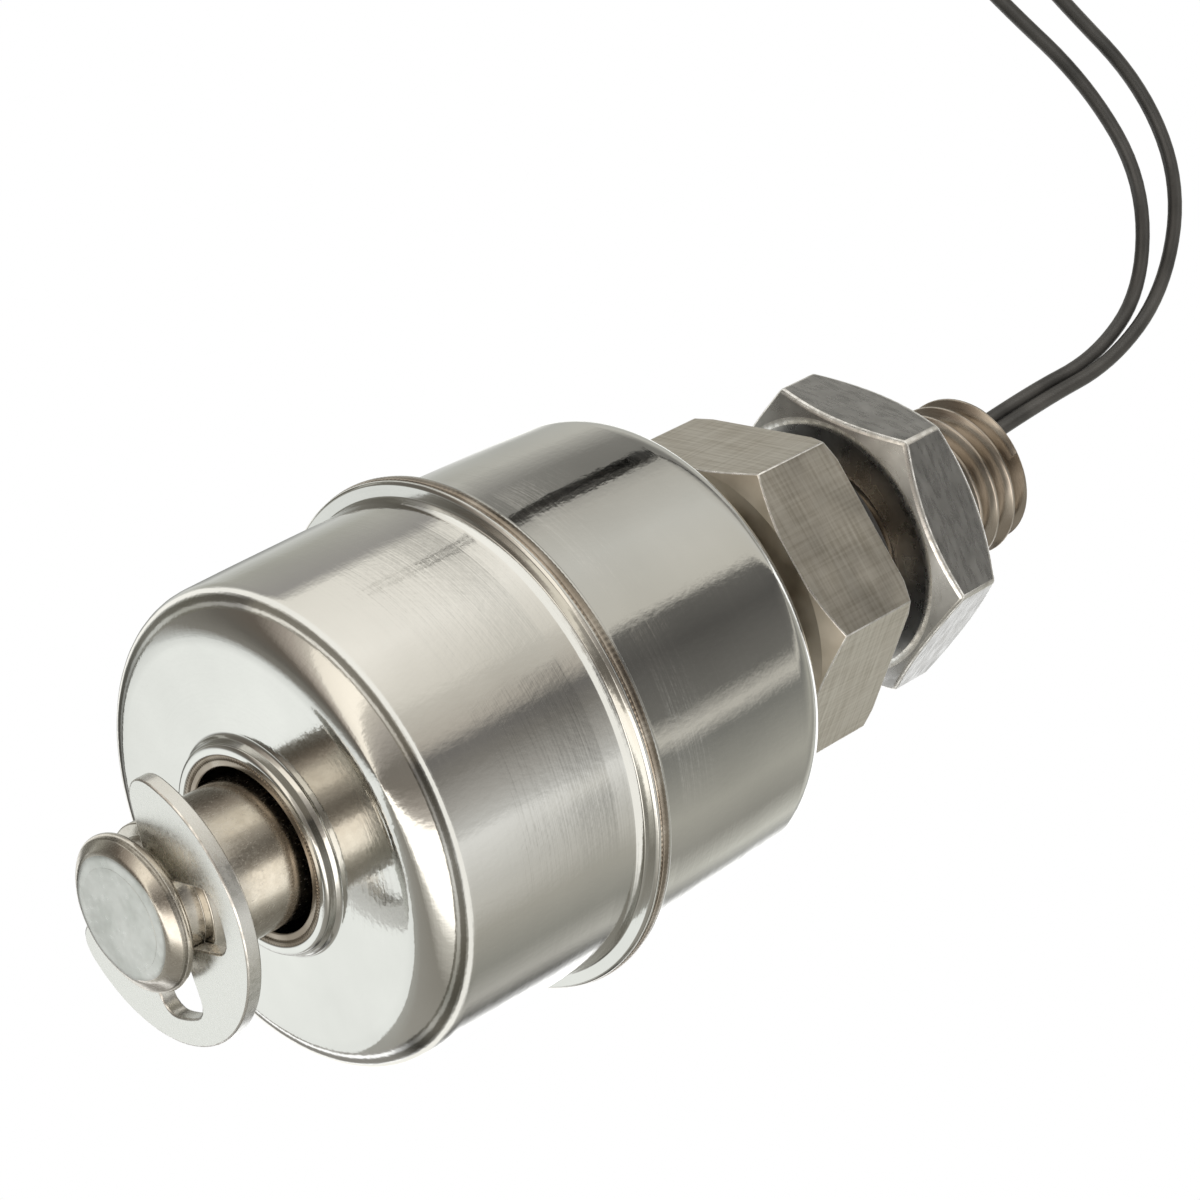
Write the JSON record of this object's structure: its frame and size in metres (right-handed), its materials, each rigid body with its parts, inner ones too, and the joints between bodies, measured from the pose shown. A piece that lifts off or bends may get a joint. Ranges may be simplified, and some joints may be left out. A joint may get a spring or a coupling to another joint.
{
  "type": "float level switch",
  "caption": "Vertical float level switch: a drum float slides on a stem with a clip at the tip, under a hex body, gasket and lock nut on a threaded tail with wire leads.",
  "frame": {"origin": "on the axis, at the back face of the hex body, where the gasket seats", "axes": "+Z along the stem, from the tip towards the threaded tail and the leads; the leads arc over towards -X"},
  "size_m": [0.0661, 0.03, 0.092],
  "materials": {
    "polished_steel": "mirror polished stainless sheet",
    "satin_steel": "satin, fine grain",
    "turned_steel": "matte turned stainless with cross scratches",
    "nut_steel": "satin",
    "clip_steel": "stamped, tumbled",
    "magnet": "sintered ferrite, dark grey",
    "spacer_plastic": "matte, natural",
    "gasket_rubber": "matte",
    "reed_glass": "clear, faint green",
    "reed_metal": "plated nickel iron",
    "bare_wire": "tinned",
    "solder": "bright",
    "shrink_sleeve": "semi gloss",
    "lead_jacket": "semi gloss black",
    "tinned_copper": "bright",
    "potting_resin": "gloss",
    "tie_plastic": "matte black"
  },
  "bodies": {
    "switch_body": {"hex_body": "turned_steel", "stem_tube": "satin_steel", "tip_plug": "satin_steel", "retaining_clip": "clip_steel", "sealing_gasket": "gasket_rubber", "reed_glass": "reed_glass", "reed_blade_upper": "reed_metal", "reed_blade_lower": "reed_metal", "return_wire": "bare_wire", "solder_lower": "solder", "solder_upper_a": "solder", "solder_upper_b": "solder", "reed_sleeve": "shrink_sleeve", "lead_a_potted": "lead_jacket", "lead_b_potted": "lead_jacket", "potting": "potting_resin", "lead_a": "lead_jacket", "lead_b": "lead_jacket", "lead_coil": "lead_jacket", "lead_a_drop": "lead_jacket", "lead_b_drop": "lead_jacket", "lead_a_tip": "tinned_copper", "lead_b_tip": "tinned_copper", "coil_tie": "tie_plastic"},
    "magnet": {"float_magnet": "magnet"},
    "float": {"float_shell_tip": "polished_steel", "float_shell_flange": "polished_steel", "float_inner_tube": "satin_steel", "magnet_spacer_tip": "spacer_plastic", "magnet_spacer_flange": "spacer_plastic"},
    "lock_nut": {"lock_nut": "nut_steel"}
  },
  "joints": [
    {"name": "float_slide", "type": "slide", "parent": "switch_body", "child": "magnet", "axis": [0, 0, 1], "range_m": [-0.00585, 0.0031]},
    {"name": "float_spin", "type": "hinge", "parent": "magnet", "child": "float", "pos_m": [0, 0, -0.0254], "axis": [0, 0, 1], "continuous": true},
    {"name": "lock_nut_travel", "type": "slide", "parent": "switch_body", "child": "lock_nut", "axis": [0, 0, 1], "range_m": [-0.0025, 0.01215]}
  ]
}
